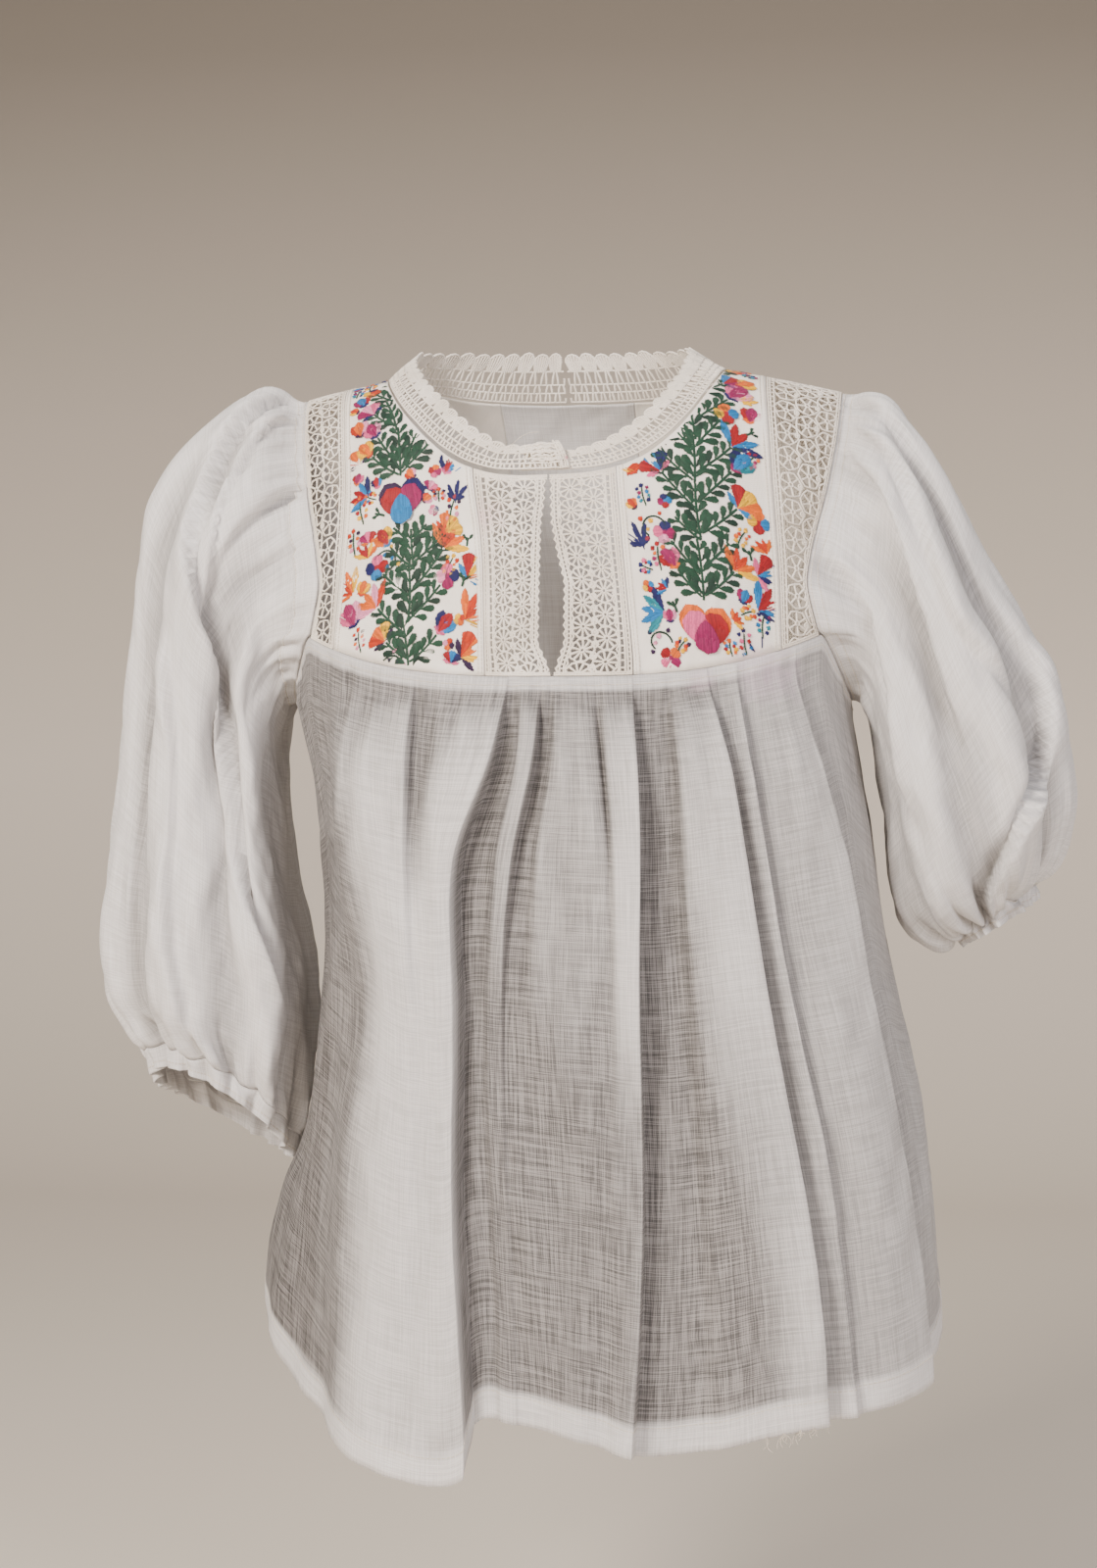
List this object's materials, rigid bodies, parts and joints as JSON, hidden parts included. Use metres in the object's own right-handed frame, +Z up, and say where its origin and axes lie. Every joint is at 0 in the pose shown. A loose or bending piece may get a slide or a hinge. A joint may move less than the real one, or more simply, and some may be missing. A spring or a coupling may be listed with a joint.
{
  "type": "muslin blouse",
  "caption": "Pleated muslin blouse with a flower-embroidered yoke, crochet strips, keyhole neck and puffed elbow sleeves, in its worn hollow form.",
  "frame": {"origin": "middle of the shoulder line, where the blouse rests on its wearer", "axes": "+Z up, the front faces -Y, the wearer's left is +X"},
  "size_m": [0.588, 0.3143, 0.6637],
  "materials": {
    "muslin": "thin plain-woven cotton muslin, soft and slightly see-through",
    "embroidered_muslin": "closer cotton ground with satin stitch flowers",
    "crochet_lace": "ecru cotton crochet"
  },
  "bodies": {
    "root": {"body_back": "muslin", "body_front": "muslin", "centre_lace_left": "crochet_lace", "centre_lace_right": "crochet_lace", "cuff_left": "muslin", "cuff_right": "muslin", "embroidered_back_left": "embroidered_muslin", "embroidered_back_right": "embroidered_muslin", "embroidered_front_left": "embroidered_muslin", "embroidered_front_right": "embroidered_muslin", "neck_band_left": "crochet_lace", "neck_band_right": "crochet_lace", "outer_lace_back_left": "crochet_lace", "outer_lace_back_right": "crochet_lace", "outer_lace_front_left": "crochet_lace", "outer_lace_front_right": "crochet_lace", "sleeve_left": "muslin", "sleeve_right": "muslin", "yoke_back_centre": "muslin"}
  },
  "joints": []
}
